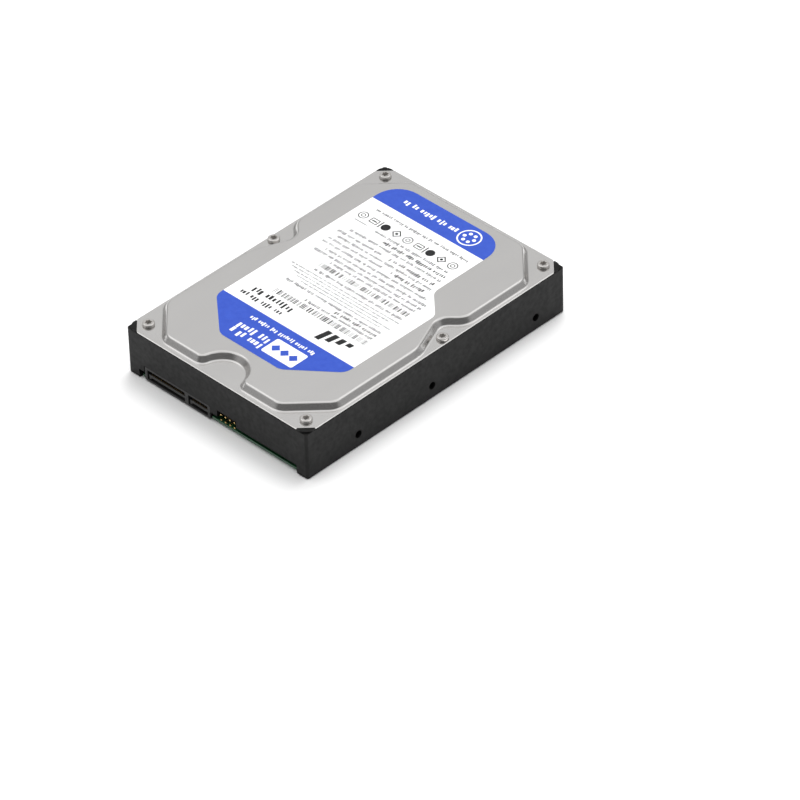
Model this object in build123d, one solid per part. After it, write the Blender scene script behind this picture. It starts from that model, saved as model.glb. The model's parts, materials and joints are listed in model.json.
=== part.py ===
from build123d import *
from math import acos, cos, degrees, hypot, radians, sin
import os

# A 3.5-inch hard disk drive in millimetres. +Z is up, the origin is the middle of the underside.
# +Y runs from the connector end to the far end; +X is the right-hand side seen from the connector end.

# ---- form factor ----
WIDTH = 101.6
LENGTH = 147.0
HEIGHT = 26.1
HALF_W = WIDTH / 2
HALF_L = LENGTH / 2
CORNER_R = 1.2                    # casting's upright corners
EDGE_BREAK = 0.5                  # chamfer round the casting's foot

# ---- mounting threads, 6-32 UNC ----
MOUNT_R = 1.75
MOUNT_DEPTH = 3.8
BOTTOM_HOLE_X = 47.625
BOTTOM_HOLE_FROM_END = (41.28, 85.73)
SIDE_HOLE_Z = 6.35
SIDE_HOLE_FROM_END = (28.5, 70.11, 130.1)

# ---- cover ----
COVER_W = 101.2
COVER_L = 146.6
COVER_CUT = 5.6                   # 45-degree cut at each corner
SHEET = 0.8
LABEL_T = 0.1
PLATEAU_Z = HEIGHT - LABEL_T      # top of the raised area
FLANGE_Z = 23.1                   # top of the flat flange round it
RIM_Z = FLANGE_Z - SHEET          # where the cover rests on the casting
WALL_SLOPE = 31                   # raised area's wall, degrees from upright
WALL_SHIFT = 0.45                 # the sheet's inner face steps in by this much at the flange
FOOT_X = 49.2                     # foot of the raised area's wall: sides, front and rear
FOOT_FRONT = -71.1
FOOT_REAR = 71.4
FOOT_FRONT_CUT = 16.6
FOOT_REAR_CUT = 17.2
FOOT_R = 7.8
FRONT_NOTCH_Y = -70.0
FRONT_NOTCH_R = 9.8
FRONT_NOTCH_LIP_R = 4.6
CORNER_POST_Z = FLANGE_Z - 0.1    # top of the casting's round corner posts
CORNER_POST_R = 4.2
CORNER_POST_INSET = 4.3           # a post's middle lies this far in from two sides
COVER_SCREW_XY = [(44.6, -67.1), (44.7, 67.7), (47.7, 6.1)]
DIMPLE_R = 2.7
DIMPLE_DEPTH = 0.3
COVER_SCREW_R = 1.25
COVER_SCREW_HEAD_R = 2.55
COVER_SCREW_RECESS_R = 1.45
HEAD_ROUNDING = 0.3               # share of a screw head's height
RECESS_DEPTH = 0.7

# ---- chamber in the casting ----
FLOOR_Z = 7.0
UPPER_Z = 19.6                    # above this the chamber widens to the gasket's line
SHROUD_R = 47.9
LEDGE_Z = 21.8                    # the gasket lies on this ledge
FRONT_BAY_X = 45.5
FRONT_BAY = (-69.3, -4.0)
FRONT_BAY_CUT = 13.3
SILL_Z = 9.5                      # raised floor above the connectors
REAR_POCKET_Z = 10.0
REAR_SHROUD_R = 50.2
BREATHER = (-36.0, -46.0)         # breather hole in the floor
HEAD_PLUG = (-14.0, -52.0)        # middle of the heads' plug through the floor

# ---- underside ----
RAIL_X = 44.8                     # inner face of the two side rails
BELLY_Z = 0.8
CEILING_Z = 4.4
BOARD_Z = 1.0
BOARD_T = 1.0
BOARD_TOP = BOARD_Z + BOARD_T
BOARD_X = 44.0
BOARD_Y = (-72.6, 12.0)
BOARD_GAP = 0.6
BOARD_BITE_R = 19.7
CHIP_T = 1.2
BOARD_SCREW_XY = [(-40.5, -60.0), (40.5, -60.0), (-40.5, 6.0), (40.5, 6.0), (0.0, -8.0)]

# ---- connectors ----
PLUG_X = (-41.6, -4.2)
PLUG_Y = (-73.3, -66.2)
PLUG_Z = (0.7, 7.0)
PLUG_DEPTH = 5.8
POWER_X = (-40.2, -18.6)
DATA_X = (-16.6, -5.6)
TONGUE_Z = 3.5
TONGUE_T = 1.23
CONTACT_PITCH = 1.27
JUMPER_X = (0.4, 10.6)
JUMPER_PITCH = 2.54
PIN_SIZE = 0.64

# ---- disk stack ----
SPINDLE = (0.0, 22.3)
PLATTER_R = 47.5
PLATTER_BORE = 12.5
PLATTER_T = 1.27
PLATTER_GAP = 2.6
PLATTER_COUNT = 3
FIRST_PLATTER_Z = 10.4
PITCH = PLATTER_T + PLATTER_GAP
STACK_TOP = FIRST_PLATTER_Z + (PLATTER_COUNT - 1) * PITCH + PLATTER_T
HUB_R = PLATTER_BORE - 0.02
HUB_TOP = 20.6
MOTOR_BOSS_R = 13.0
MOTOR_SCREW_R = 15.8

# ---- actuator ----
PIVOT = (14.0, -34.0)
ARM_REACH = 49.5                  # pivot to read/write head
PARK_R = 51.0                     # parked head's distance from the spindle
COIL_BEND = 20                    # coil's axis is bent this far from the arm's line
ARM_T = 0.86
HEAD_LIFT = 0.72                  # suspension's height over the disk's face
SPRING_T = 0.15
SLIDER_GAP = 0.1
SLIDER_T = 0.3
BLOCK_Z = (8.4, 21.4)
BLOCK_R = 8.0
CARTRIDGE_R = 5.95
BALL_CIRCLE_R = 4.0
BALL_R = 0.68
ARM_CIRCUIT_ANGLE = 238           # direction of the comb's flat for its circuit, when parked
SWING = 35.0                      # degrees from parked to the innermost track
COIL_Z = (12.9, 16.3)
MOULD_Z = (12.7, 16.5)

# ---- magnet assembly ----
LOWER_YOKE = (FLOOR_Z, 9.2)
LOWER_MAGNET = (9.2, 12.0)
UPPER_MAGNET = (17.2, 19.8)
UPPER_YOKE = (19.8, 21.9)
YOKE_R = (10.5, 30.5)
MAGNET_R = (13.5, 27.0)
YOKE_POSTS = [(34.5, -62.0), (19.0, -119.0), (24.0, 2.0)]   # radius and angle about the pivot
POST_R = 2.0

# ---- latch ----
LATCH_Z = (13.6, 15.6)
LATCH_PIN = (33.6, -34.0)         # radius and angle about the pivot
LATCH_TIP = (33.2, -53.0)
LATCH_OPEN = 16                   # degrees from holding to open
LATCH_NOSE_R = 31.2               # how near the pivot the nose reaches
TAB_R = 31.6
TAB_ANGLE = -46.3


# ---- helpers ----
def block(x0, x1, y0, y1, z0, z1):
    """A box given by its two faces along each axis."""
    middle = Pos((x0 + x1) / 2, (y0 + y1) / 2, (z0 + z1) / 2)
    return middle * Box(x1 - x0, y1 - y0, z1 - z0)


def disc(centre, radius, z0, z1):
    """An upright cylinder."""
    return Pos(centre[0], centre[1], (z0 + z1) / 2) * Cylinder(radius, z1 - z0)


def ring(centre, outer, inner, z0, z1):
    """An upright tube."""
    return disc(centre, outer, z0, z1) - disc(centre, inner, z0, z1)


def prism(outline, z0, z1):
    """A flat outline extruded between two heights."""
    return extrude(Pos(0, 0, z0) * outline, z1 - z0, dir=(0, 0, 1))


def rounded(corners):
    """A closed outline with straight sides; each corner is x, y and its radius."""
    points = [(x, y) for x, y, _ in corners]
    radii = [radius for _, _, radius in corners]
    return make_face(FilletPolyline(*points, radius=radii, close=True))


def mirrored(corners):
    """The same corners in order, followed by their mirror images in x."""
    return corners + [(-x, y, radius) for x, y, radius in reversed(corners)]


def about_pivot(radius, angle):
    """A point given by its distance and direction from the actuator's pivot."""
    return (PIVOT[0] + radius * cos(radians(angle)), PIVOT[1] + radius * sin(radians(angle)))


def sector(centre, inner, outer, start, end):
    """A flat piece of a ring between two directions, in degrees."""
    arcs = [CenterArc(centre, radius, start, end - start) for radius in (inner, outer)]
    sides = [Line(arcs[0] @ end_of_arc, arcs[1] @ end_of_arc) for end_of_arc in (0, 1)]
    return make_face(arcs + sides)


def group(solids):
    """Separate solids kept apart in one sub-part."""
    return Compound(children=[solid for shape in solids for solid in shape.solids()])


def both_sides(points):
    """Each point and its mirror image in x."""
    return [(side * x, y) for x, y in points for side in (-1, 1)]


def from_end(distance):
    """The y of a place measured from the connector end."""
    return distance - HALF_L


def six_lobes(radius):
    """Outline of a six-lobed driver recess; radius is to the lobes' tips."""
    lobe_r = 0.26 * radius
    star = Circle(0.78 * radius)
    for i in range(6):
        angle = radians(60 * i)
        star += Pos((radius - lobe_r) * cos(angle), (radius - lobe_r) * sin(angle)) * Circle(lobe_r)
    return star


def screw(centre, shank_r, head_r, bottom, seat, top, recess_r, down=True):
    """A screw with a domed head and a six-lobed recess; seat is where head meets shank."""
    height = abs(top - seat)
    body = disc(centre, shank_r, *sorted((bottom, seat)))
    body += disc(centre, head_r, *sorted((seat, top)))
    outer_edge = body.edges().filter_by(GeomType.CIRCLE).sort_by(Axis.Z)[-1 if down else 0]
    body = fillet(outer_edge, HEAD_ROUNDING * height)
    depth = RECESS_DEPTH * height
    socket_bottom = top - depth if down else top
    return body - Pos(centre[0], centre[1], socket_bottom) * extrude(six_lobes(recess_r), depth)


# ---- outlines ----
def casting_outline():
    return RectangleRounded(WIDTH, LENGTH, CORNER_R)


def cover_outline():
    half_w = COVER_W / 2
    half_l = COVER_L / 2
    right = [
        (half_w - COVER_CUT, -half_l, 0.8),
        (half_w, COVER_CUT - half_l, 0.8),
        (half_w, half_l - COVER_CUT, 0.8),
        (half_w - COVER_CUT, half_l, 0.8),
    ]
    return rounded(mirrored(right))


def foot_outline():
    """Foot of the raised area: cut corners, a notch at each side and a round one at the front."""
    right = [
        (FOOT_X - FOOT_FRONT_CUT, FOOT_FRONT, FOOT_R),
        (FOOT_X, FOOT_FRONT + FOOT_FRONT_CUT, FOOT_R),
        (FOOT_X, -7.5, 14.0),
        (41.2, 11.6, 5.4),
        (FOOT_X, 18.6, 9.0),
        (FOOT_X, FOOT_REAR - FOOT_REAR_CUT, FOOT_R),
        (FOOT_X - FOOT_REAR_CUT, FOOT_REAR, FOOT_R),
    ]
    outline = rounded(mirrored(right)) - Pos(0, FRONT_NOTCH_Y) * Circle(FRONT_NOTCH_R)
    lips = [
        corner
        for corner in outline.vertices()
        if abs(corner.Y - FOOT_FRONT) < 0.01 and abs(corner.X) < FRONT_NOTCH_R
    ]
    return fillet(lips, FRONT_NOTCH_LIP_R)


def seal_outline(beyond_foot, disk_radius):
    """Line of the chamber's mouth: the raised area's foot joined with the circle round the disks."""
    return offset(foot_outline(), beyond_foot) + Pos(*SPINDLE) * Circle(disk_radius)


def front_bay_outline():
    """Bay for the actuator, between the disks and the connector end."""
    right = [
        (FRONT_BAY_X - FRONT_BAY_CUT, FRONT_BAY[0], 3.0),
        (FRONT_BAY_X, FRONT_BAY[0] + FRONT_BAY_CUT, 3.0),
        (FRONT_BAY_X, FRONT_BAY[1], 2.0),
    ]
    return rounded(mirrored(right)) - Pos(0, FRONT_NOTCH_Y) * Circle(FRONT_NOTCH_R + 0.4)


def board_outline(grow):
    half_x = BOARD_X + grow
    rear = BOARD_Y[1] + grow
    front = BOARD_Y[0] - grow
    outline = rounded([(-half_x, front, 1), (half_x, front, 1), (half_x, rear, 3), (-half_x, rear, 3)])
    return outline - Pos(*SPINDLE) * Circle(BOARD_BITE_R - grow)


def label_outline():
    return rounded([
        (-17.0, -54.2, 6.0),
        (17.0, -54.2, 6.0),
        (37.6, -37.9, 6.0),
        (38.1, 11.9, 5.0),
        (26.9, 22.6, 6.0),
        (26.9, 65.4, 11.5),
        (-35.8, 65.4, 11.5),
        (-36.2, -37.4, 6.0),
    ])


# ---- casting ----
def chamber():
    """The hollow for the disks and the actuator, with its ledge for the gasket."""
    hollow = prism(seal_outline(-0.4, SHROUD_R), UPPER_Z, RIM_Z)
    hollow += prism(seal_outline(0.8, SHROUD_R + 1.1), LEDGE_Z, RIM_Z)
    hollow += disc(SPINDLE, SHROUD_R, FLOOR_Z, RIM_Z)
    sill = block(-FRONT_BAY_X, 11.0, -HALF_L, -63.0, FLOOR_Z, SILL_Z)
    hollow += prism(front_bay_outline(), FLOOR_Z, UPPER_Z) - sill
    rear = offset(foot_outline(), -2.0) & Pos(0, HALF_L) * Rectangle(WIDTH, LENGTH / 2)
    rear -= Pos(*SPINDLE) * Circle(REAR_SHROUD_R)
    return hollow + prism(rear, REAR_POCKET_Z, UPPER_Z)


def underside():
    """Recess for the board, the motor's well and the ribbed pockets behind it."""
    recess = prism(board_outline(BOARD_GAP), 0, CEILING_Z)
    recess += block(-RAIL_X, RAIL_X, -HALF_L, BOARD_Y[0] + 2, 0, CEILING_Z)
    recess += block(-RAIL_X, RAIL_X, BOARD_Y[1] - 2, HALF_L - 2.5, 0, BELLY_Z)
    recess += disc(SPINDLE, BOARD_BITE_R - BOARD_GAP + 0.1, 0, CEILING_Z)
    pockets = sector(SPINDLE, 22, 43, -4, 184)
    for rib in range(7):
        angle = 30 * rib
        pockets -= Pos(*SPINDLE) * Rot(0, 0, angle) * Pos(32, 0) * Rectangle(24, 2.2)
    recess += prism(pockets, 0, CEILING_Z)
    corner = Rectangle(2 * RAIL_X - 1, LENGTH - 6) - Rectangle(36, LENGTH)
    corner -= Pos(0, -HALF_L) * Rectangle(WIDTH, LENGTH + 60)
    corner -= Pos(*SPINDLE) * Circle(46.5)
    recess += prism(corner, 0, REAR_POCKET_Z - 2.5)
    return recess


def mount_holes():
    """Blind threads: two in each rail from below and three in each side."""
    holes = []
    for x in (-BOTTOM_HOLE_X, BOTTOM_HOLE_X):
        for distance in BOTTOM_HOLE_FROM_END:
            holes.append(disc((x, from_end(distance)), MOUNT_R, -1, MOUNT_DEPTH + 0.7))
    for side in (-1, 1):
        for distance in SIDE_HOLE_FROM_END:
            drill = Rot(0, 90, 0) * Cylinder(MOUNT_R, 2 * MOUNT_DEPTH)
            holes.append(Pos(side * HALF_W, from_end(distance), SIDE_HOLE_Z) * drill)
    return holes


def base_casting():
    body = prism(casting_outline(), 0, RIM_Z)
    leg = COVER_CUT + 0.1
    corner = Polygon((HALF_W, HALF_L), (HALF_W - leg, HALF_L), (HALF_W, HALF_L - leg), align=None)
    middle = (HALF_W - CORNER_POST_INSET, HALF_L - CORNER_POST_INSET)
    post = prism(corner, RIM_Z - 0.5, CORNER_POST_Z)
    post &= disc(middle, CORNER_POST_R, RIM_Z - 0.5, CORNER_POST_Z)
    for x in (-1, 1):
        for y in (-1, 1):
            body += scale(post, (x, y, 1))
    lower_edges = body.edges().group_by(Axis.Z)[0]
    body = chamfer(lower_edges, EDGE_BREAK)
    body -= chamber()
    body -= underside()
    for x, y in BOARD_SCREW_XY:
        body += disc((x, y), 3.0, BOARD_TOP, CEILING_Z)
    cuts = mount_holes()
    cuts += [disc(point, COVER_SCREW_R + 0.05, 15.5, HEIGHT) for point in both_sides(COVER_SCREW_XY)]
    cuts += [disc(point, 1.25, 0, 5.6) for point in BOARD_SCREW_XY]
    cuts.append(disc(SPINDLE, MOTOR_BOSS_R + 0.05, 0, FLOOR_Z + 1))
    cuts += [disc(motor_screw_place(i), 1.3, 0, FLOOR_Z + 1) for i in range(3)]
    cuts.append(disc(PIVOT, 2.05, CEILING_Z + 0.2, FLOOR_Z + 1))
    cuts.append(disc(ramp_screw_place(), 1.25, 5.0, FLOOR_Z + 1))
    cuts += [disc(about_pivot(*post), 1.25, 5.0, FLOOR_Z + 1) for post in YOKE_POSTS]
    cuts.append(disc(about_pivot(*LATCH_PIN), 1.0, 5.2, FLOOR_Z + 1))
    cuts.append(disc(BREATHER, 0.8, 0, FLOOR_Z + 1))
    hx, hy = HEAD_PLUG
    cuts.append(block(hx - 8.1, hx + 8.1, hy - 3.1, hy + 3.1, 0, FLOOR_Z + 1))
    for (left, right), back, top in ((PLUG_X, PLUG_Y[1] + 0.4, PLUG_Z[1] + 0.3), (JUMPER_X, -65.6, 7.6)):
        cuts.append(block(left - 0.3, right + 0.3, -HALF_L - 1, back, -1, top))
    return body - cuts


# ---- cover ----
def top_cover():
    """Pressed sheet: a flat flange and a raised area with a sloping wall."""
    shell = prism(cover_outline(), RIM_Z, FLANGE_Z)
    rise = PLATEAU_Z - FLANGE_Z
    shell += extrude(Pos(0, 0, FLANGE_Z) * foot_outline(), rise, dir=(0, 0, 1), taper=WALL_SLOPE)
    shell = fillet(shell.edges().group_by(Axis.Z)[-1], 1.1)
    flange = shell.faces().filter_by(Plane.XY).group_by(Axis.Z)[-2].sort_by(SortBy.AREA)[-1]
    shell = fillet(flange.inner_wires()[0].edges(), 0.9)
    inner = offset(foot_outline(), -WALL_SHIFT)
    shell -= extrude(Pos(0, 0, RIM_Z) * inner, rise, dir=(0, 0, 1), taper=WALL_SLOPE)
    for point in both_sides(COVER_SCREW_XY):
        shell -= disc(point, DIMPLE_R, FLANGE_Z - DIMPLE_DEPTH, HEIGHT)
        shell -= disc(point, COVER_SCREW_R + 0.2, RIM_Z - 1, HEIGHT)
    shell -= disc(PIVOT, 3.2, PLATEAU_Z - 0.4, HEIGHT)
    return shell - disc(PIVOT, 1.2, RIM_Z, HEIGHT)


def cover_gasket():
    return prism(seal_outline(0.7, SHROUD_R + 1.0) - seal_outline(-0.3, SHROUD_R + 0.1), LEDGE_Z, RIM_Z)


def cover_screws():
    seat = FLANGE_Z - DIMPLE_DEPTH
    return group([
        screw(point, COVER_SCREW_R, COVER_SCREW_HEAD_R, 16.0, seat, seat + 1.7, COVER_SCREW_RECESS_R)
        for point in both_sides(COVER_SCREW_XY)
    ])


def pivot_screw():
    seat = PLATEAU_Z - 0.4
    return disc(PIVOT, 1.0, 20.0, seat) + disc(PIVOT, 2.8, seat, seat + 0.35)


def drive_label():
    return prism(label_outline(), PLATEAU_Z, HEIGHT)


# ---- board and connectors ----
def circuit_board():
    board = prism(board_outline(0), BOARD_Z, BOARD_TOP)
    board -= block(PLUG_X[0] - 0.4, PLUG_X[1] + 0.4, -HALF_L, PLUG_Y[1] + 0.2, 0, BOARD_TOP)
    for point in BOARD_SCREW_XY:
        board -= disc(point, 1.4, 0, BOARD_TOP)
    return board


def board_screws():
    return group([
        screw(point, 1.2, 2.3, 5.3, BOARD_Z, BOARD_Z - 0.8, 1.0, down=False) for point in BOARD_SCREW_XY
    ])


def chip(x, y, length, width, height=CHIP_T):
    body = Pos(x, y, BOARD_TOP + height / 2) * Box(length, width, height)
    return chamfer(body.edges().group_by(Axis.Z)[-1], 0.15)


def board_components():
    """Capacitors, coils and the crystal, in rows round the chips."""
    parts = [chip(-24 + 3.2 * i, -8, 1.6, 3.0, 0.9) for i in range(6)]
    parts += [chip(24 + 3.4 * (i % 4), -24 - 4.2 * (i // 4), 2.0, 3.2, 1.0) for i in range(8)]
    parts += [chip(-34, -30 + 5.0 * i, 3.2, 1.8, 0.9) for i in range(5)]
    parts += [chip(22 + 7.5 * i, -48, 5.6, 5.6, 1.1) for i in range(2)]
    parts.append(chip(8, -54, 5.0, 3.2, 1.0))
    parts += [chip(-36 + 4.5 * i, -61.5, 2.4, 1.4, 0.8) for i in range(8)]
    return group(parts)


def insulating_foam():
    """Foam sheet pressed between the chips and the casting."""
    sheet = rounded([(-37, -56, 3), (37, -56, 3), (37, -1, 3), (-37, -1, 3)])
    sheet -= Pos(*HEAD_PLUG) * Rectangle(19, 9)
    sheet -= Pos(0, -8) * Circle(3.6)
    sheet -= Pos(12, -2) * Rectangle(16, 12)
    sheet -= Pos(*BREATHER) * Circle(3)
    return prism(sheet, BOARD_TOP + CHIP_T, CEILING_Z)


def contact(x):
    """One leaf on a tongue; it passes the housing's back wall and is soldered to the board."""
    top = TONGUE_Z + TONGUE_T / 2
    leaf = block(x - 0.4, x + 0.4, PLUG_Y[0] + 0.7, PLUG_Y[1] + 0.5, top, top + 0.2)
    leaf += block(x - 0.3, x + 0.3, PLUG_Y[1] + 0.25, PLUG_Y[1] + 0.5, BOARD_TOP, top + 0.2)
    return leaf + block(x - 0.3, x + 0.3, PLUG_Y[1] + 0.25, PLUG_Y[1] + 1.9, BOARD_TOP, BOARD_TOP + 0.2)


def connector_contacts():
    """Seven signal and fifteen power contacts."""
    leaves = []
    for bay, count in ((POWER_X, 15), (DATA_X, 7)):
        middle = sum(bay) / 2 + 0.4
        leaves += [contact(middle + CONTACT_PITCH * (i - (count - 1) / 2)) for i in range(count)]
    return group(leaves)


def signal_power_connector():
    """Housing with two open bays, each with an L-shaped tongue."""
    housing = block(*PLUG_X, *PLUG_Y, *PLUG_Z)
    housing = chamfer(housing.edges().filter_by(Axis.Y), 0.4)
    back = PLUG_Y[0] + PLUG_DEPTH
    for bay in (POWER_X, DATA_X):
        housing -= block(*bay, PLUG_Y[0] - 1, back, PLUG_Z[0] + 0.8, PLUG_Z[1] - 0.9)
        low = TONGUE_Z - TONGUE_T / 2
        high = TONGUE_Z + TONGUE_T / 2
        tongue = block(bay[0] + 0.7, bay[1] - 0.3, PLUG_Y[0] + 0.3, back, low, high)
        tongue += block(bay[0] + 0.7, bay[0] + 1.9, PLUG_Y[0] + 0.3, back, low - 0.9, low)
        housing += tongue
    return housing - list(connector_contacts().solids())


def jumper_pin(x, z):
    """A square pin bent down to the board; the upper row's tails stand further back."""
    tail_y = -67.0 + (z - 4) * 0.6
    half = PIN_SIZE / 2
    pin = block(x - half, x + half, -72.9, tail_y, z - half, z + half)
    return pin + block(x - half, x + half, tail_y - PIN_SIZE, tail_y, BOARD_TOP, z + half)


def jumper_pins():
    start = sum(JUMPER_X) / 2 - 1.5 * JUMPER_PITCH
    return group([jumper_pin(start + JUMPER_PITCH * i, z) for i in range(4) for z in (3.2, 5.74)])


def jumper_block():
    body = block(*JUMPER_X, -70.0, -67.8, BOARD_TOP, 7.1)
    return body - list(jumper_pins().solids())


def head_connector():
    """Plug through the casting's floor that joins the heads' circuit to the board."""
    x, y = HEAD_PLUG
    body = block(x - 8, x + 8, y - 3, y + 3, BOARD_TOP, FLOOR_Z + 1.5)
    for row in (-1, 1):
        for i in range(12):
            pin_x = x + 1.2 * (i - 5.5)
            pin_y = y + 1.6 * row
            body -= block(pin_x - 0.3, pin_x + 0.3, pin_y - 0.5, pin_y + 0.5, FLOOR_Z + 1.0, FLOOR_Z + 2)
    return body


def motor_contact_block():
    body = block(6, 18, -4, 0, BOARD_TOP, CEILING_Z - 0.2)
    for i in range(4):
        body -= block(7.2 + 2.8 * i, 8.6 + 2.8 * i, -3.2, -0.8, CEILING_Z - 0.6, CEILING_Z)
    return body


def motor_circuit():
    """Thin printed strip from the motor's windings to the contact block."""
    strip = Polygon((6, -4), (18, -4), (18, 1), (10, 14), (2, 14), (6, 1), align=None)
    strip -= Pos(*SPINDLE) * Circle(MOTOR_BOSS_R + 0.1)
    return prism(strip, CEILING_Z - 0.2, CEILING_Z)


def breather_filter():
    return disc(BREATHER, 5.0, FLOOR_Z, FLOOR_Z + 2.5) - disc(BREATHER, 0.8, FLOOR_Z - 1, FLOOR_Z + 1.5)


def recirculation_filter():
    """Pleated pillow in the rear corner pocket, across the air's path."""
    radius = (REAR_SHROUD_R + 54.8) / 2
    x = SPINDLE[0] - radius * cos(radians(45))
    y = SPINDLE[1] + radius * sin(radians(45))
    pillow = fillet(Box(14, 3, 8).edges(), 0.7)
    return Pos(x, y, REAR_POCKET_Z + 4) * Rot(0, 0, 45) * pillow


# ---- spindle motor ----
def motor_screw_place(i):
    angle = radians(90 + 120 * i)
    return (SPINDLE[0] + MOTOR_SCREW_R * cos(angle), SPINDLE[1] + MOTOR_SCREW_R * sin(angle))


def motor_base():
    """Flange on the floor, boss through it and the collar that holds the bearing sleeve."""
    flange_r = MOTOR_SCREW_R + 2.1
    body = disc(SPINDLE, flange_r, FLOOR_Z, FLOOR_Z + 1.0) + disc(SPINDLE, MOTOR_BOSS_R, 3.0, FLOOR_Z)
    body += disc(SPINDLE, 6.0, FLOOR_Z, 9.6)
    body -= disc(SPINDLE, 4.6, 4.0, 12)
    body -= ring(SPINDLE, 11.0, 7.5, 2.9, 3.6)
    for i in range(3):
        body -= disc(motor_screw_place(i), 1.2, FLOOR_Z, FLOOR_Z + 0.8)
    return body


def motor_screws():
    return group([
        screw(motor_screw_place(i), 1.15, 2.1, FLOOR_Z + 0.7, CEILING_Z, CEILING_Z - 1.2, 0.9, down=False)
        for i in range(3)
    ])


def bearing_sleeve():
    """Sleeve of the fluid bearing, closed at its foot by a thrust plate."""
    return disc(SPINDLE, 4.58, 4.0, 17.6) - disc(SPINDLE, 2.05, 5.0, 18)


def stator_core():
    """Nine laminated teeth with wide tips."""
    core = ring(SPINDLE, 6.4, 4.6, 10.6, 15.0)
    for i in range(9):
        tooth = block(5.5, 9.6, -0.7, 0.7, 10.6, 15.0)
        tip = sector((0, 0), 9.2, 10.1, -14, 14)
        tooth += prism(tip, 10.6, 15.0)
        core += Pos(*SPINDLE) * Rot(0, 0, 40 * i) * tooth
    return core


def stator_coils():
    """One winding round each tooth."""
    coils = []
    for i in range(9):
        winding = Pos(7.9, 0, 12.8) * Box(2.3, 3.0, 6.0)
        winding = fillet(winding.edges().filter_by(Axis.X), 0.8)
        winding -= block(6, 10, -0.75, 0.75, 10.55, 15.05)
        coils.append(Pos(*SPINDLE) * Rot(0, 0, 40 * i) * winding)
    return group(coils)


def spindle_hub():
    """Cup that carries the disks on its flange and the magnet inside its skirt."""
    body = disc(SPINDLE, HUB_R, 9.2, HUB_TOP) + disc(SPINDLE, 16.0, 9.2, FIRST_PLATTER_Z)
    body -= disc(SPINDLE, 11.7, 9, 18.2)
    body -= disc(SPINDLE, 2.0, 9, 19.8)
    for place in clamp_screw_places():
        body -= disc(place, 0.85, 18.8, HUB_TOP + 1)
    return body


def clamp_screw_places():
    turns = [radians(60 * i) for i in range(6)]
    return [(SPINDLE[0] + 8.8 * cos(turn), SPINDLE[1] + 8.8 * sin(turn)) for turn in turns]


def rotor_magnet():
    return ring(SPINDLE, 11.68, 10.4, 9.6, 16.4)


def spindle_shaft():
    return disc(SPINDLE, 2.0, 5.1, 19.8)


def platter(index):
    bottom = FIRST_PLATTER_Z + index * PITCH
    body = ring(SPINDLE, PLATTER_R, PLATTER_BORE, bottom, bottom + PLATTER_T)
    return chamfer(body.edges().filter_by(GeomType.CIRCLE), 0.12)


def platter_spacer(index):
    top_of_disk = FIRST_PLATTER_Z + index * PITCH + PLATTER_T
    return ring(SPINDLE, 15.4, PLATTER_BORE, top_of_disk, top_of_disk + PLATTER_GAP)


def disk_clamp():
    """Plate screwed to the hub; its rim presses on the top disk."""
    body = disc(SPINDLE, 15.4, STACK_TOP, 21.5)
    body -= disc(SPINDLE, 13.2, STACK_TOP, HUB_TOP)
    body -= disc(SPINDLE, 4.2, HUB_TOP, 22)
    body = chamfer(body.edges().filter_by(GeomType.CIRCLE).group_by(Axis.Z)[-1], 0.3)
    for place in clamp_screw_places():
        body -= disc(place, 1.0, HUB_TOP, 22)
    return body


def clamp_screws():
    return group([screw(place, 0.8, 1.6, 18.9, 21.5, 22.4, 0.8) for place in clamp_screw_places()])


# ---- actuator ----
def park_angle():
    """Direction of the parked arm, from the triangle pivot, spindle and parked head."""
    dx = SPINDLE[0] - PIVOT[0]
    dy = SPINDLE[1] - PIVOT[1]
    distance = hypot(dx, dy)
    opening = (ARM_REACH ** 2 + distance ** 2 - PARK_R ** 2) / (2 * ARM_REACH * distance)
    return 180 - degrees(acos(-dx / distance)) + degrees(acos(opening))


ARM_AT = Pos(*PIVOT) * Rot(0, 0, park_angle())
COIL_AT = Pos(*PIVOT) * Rot(0, 0, park_angle() - 180 - COIL_BEND)
COMB_FLAT_AT = Pos(*PIVOT) * Rot(0, 0, ARM_CIRCUIT_ANGLE)


def head_levels():
    """Height of each disk face and the side its head is on: +1 above the disk, -1 below."""
    levels = []
    for index in range(PLATTER_COUNT):
        bottom = FIRST_PLATTER_Z + index * PITCH
        levels += [(bottom, -1), (bottom + PLATTER_T, 1)]
    return levels


def arm_heights():
    """Underside of each arm: one below the stack, one in every gap and one above."""
    clearance = HEAD_LIFT + SPRING_T
    below = FIRST_PLATTER_Z - clearance - ARM_T
    above_first = FIRST_PLATTER_Z + PLATTER_T + clearance
    return [below] + [above_first + index * PITCH for index in range(PLATTER_COUNT)]


def arm_block():
    """The comb: a bored block with an arm for each gap between the disks."""
    body = disc((0, 0), BLOCK_R, *BLOCK_Z)
    half_arm = [(0, -6.5, 0), (18, -4.6, 20), (31, -3.0, 1.5)]
    outline = rounded(half_arm + [(x, -y, radius) for x, y, radius in reversed(half_arm)])
    outline -= rounded([(13, -2.6, 1.2), (25, -1.4, 1.2), (25, 1.4, 1.2), (13, 2.6, 1.2)])
    for height in arm_heights():
        body += prism(outline, height, height + ARM_T)
    body -= disc((0, 0), CARTRIDGE_R + 0.05, 0, HEIGHT)
    return ARM_AT * body


def head_suspensions():
    """Sprung beams from the arm's end to the head, each with a lifting tab at its tip."""
    beam = Polygon((25, -2.6), (33, -2.6), (48.5, -0.9), (51.2, -0.45), (53.6, -0.45),
                   (53.6, 0.45), (51.2, 0.45), (48.5, 0.9), (33, 2.6), (25, 2.6), align=None)
    beam -= Pos(28.5, 0) * Circle(1.0)
    beams = []
    for face, side in head_levels():
        near = face + side * HEAD_LIFT
        far = near + side * SPRING_T
        solid = prism(beam, *sorted((near, far)))
        dimple_top = face + side * (SLIDER_GAP + SLIDER_T)
        solid += disc((ARM_REACH, 0), 0.35, *sorted((dimple_top, near)))
        beams.append(ARM_AT * solid)
    return group(beams)


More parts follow.
